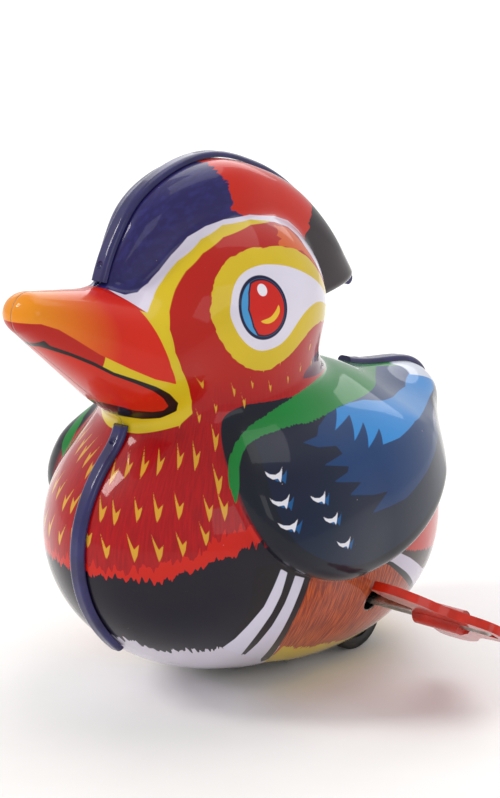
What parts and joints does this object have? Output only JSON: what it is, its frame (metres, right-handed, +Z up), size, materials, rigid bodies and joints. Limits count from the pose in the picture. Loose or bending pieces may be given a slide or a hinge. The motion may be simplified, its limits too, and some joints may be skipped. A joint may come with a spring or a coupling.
{
  "type": "wind-up tin duck toy",
  "caption": "Tin-plate wind-up duck: stamped body halves joined by seam strips, a side key, and a clockwork motor driving small wheels hidden under the belly.",
  "frame": {"origin": "on the floor that the wheels stand on, in the seam plane between the body halves", "axes": "+X is the duck's left, the side with the key; -Y is the way the beak points; +Z is up"},
  "size_m": [0.095, 0.1227, 0.1082],
  "materials": {
    "lithographed_tin": "glossy printed and varnished tinplate",
    "strip_enamel": "glossy navy enamel",
    "key_enamel": "glossy orange-red enamel",
    "plated_steel": "turned bright steel",
    "frame_tin": "bare tinplate",
    "spring_steel": "blued spring steel",
    "gear_brass": "stamped brass",
    "wheel_tin": "dark enamel",
    "tyre_rubber": "matt black rubber"
  },
  "bodies": {
    "body": {"body_shell_left": "lithographed_tin", "body_shell_right": "lithographed_tin", "crest_seam_strip": "strip_enamel", "chest_seam_strip": "strip_enamel", "tail_seam_strip": "strip_enamel", "base_plate": "frame_tin", "motor_plate_left": "frame_tin", "motor_plate_right": "frame_tin", "motor_pillars": "plated_steel", "mainspring": "spring_steel", "front_axle": "plated_steel", "front_wheel_bracket": "frame_tin"},
    "winding_train": {"winding_shaft": "plated_steel", "winding_key": "key_enamel", "great_wheel": "gear_brass", "ratchet_wheel": "plated_steel", "ratchet_click": "plated_steel", "click_rivet": "plated_steel"},
    "second_train": {"second_arbor": "plated_steel", "second_pinion": "plated_steel", "second_wheel": "gear_brass"},
    "governor_train": {"governor_arbor": "plated_steel", "governor_pinion": "plated_steel", "governor_flywheel": "gear_brass"},
    "drive_train": {"drive_axle": "plated_steel", "drive_pinion": "plated_steel", "drive_wheel_left": "wheel_tin", "drive_tyre_left": "tyre_rubber", "drive_wheel_right": "wheel_tin", "drive_tyre_right": "tyre_rubber"},
    "front_roller": {"front_wheel": "wheel_tin"}
  },
  "joints": [
    {"name": "key_turn", "type": "hinge", "parent": "body", "child": "winding_train", "pos_m": [0, 0.007, 0.0178], "axis": [1, 0, 0], "continuous": true},
    {"name": "second_spin", "type": "hinge", "parent": "body", "child": "second_train", "pos_m": [0, 0.02084, 0.018], "axis": [1, 0, 0], "continuous": true},
    {"name": "governor_spin", "type": "hinge", "parent": "body", "child": "governor_train", "pos_m": [0, 0.0179, 0.02761], "axis": [1, 0, 0], "continuous": true},
    {"name": "drive_spin", "type": "hinge", "parent": "body", "child": "drive_train", "pos_m": [0, 0.02, 0.008], "axis": [1, 0, 0], "continuous": true},
    {"name": "front_roll", "type": "hinge", "parent": "body", "child": "front_roller", "pos_m": [0, -0.006, 0.005], "axis": [1, 0, 0], "continuous": true}
  ],
  "couplings": [
    {"joint": "second_spin", "follows": "key_turn", "ratio": -3.6},
    {"joint": "governor_spin", "follows": "key_turn", "ratio": 10.8},
    {"joint": "drive_spin", "follows": "key_turn", "ratio": 10.8}
  ]
}
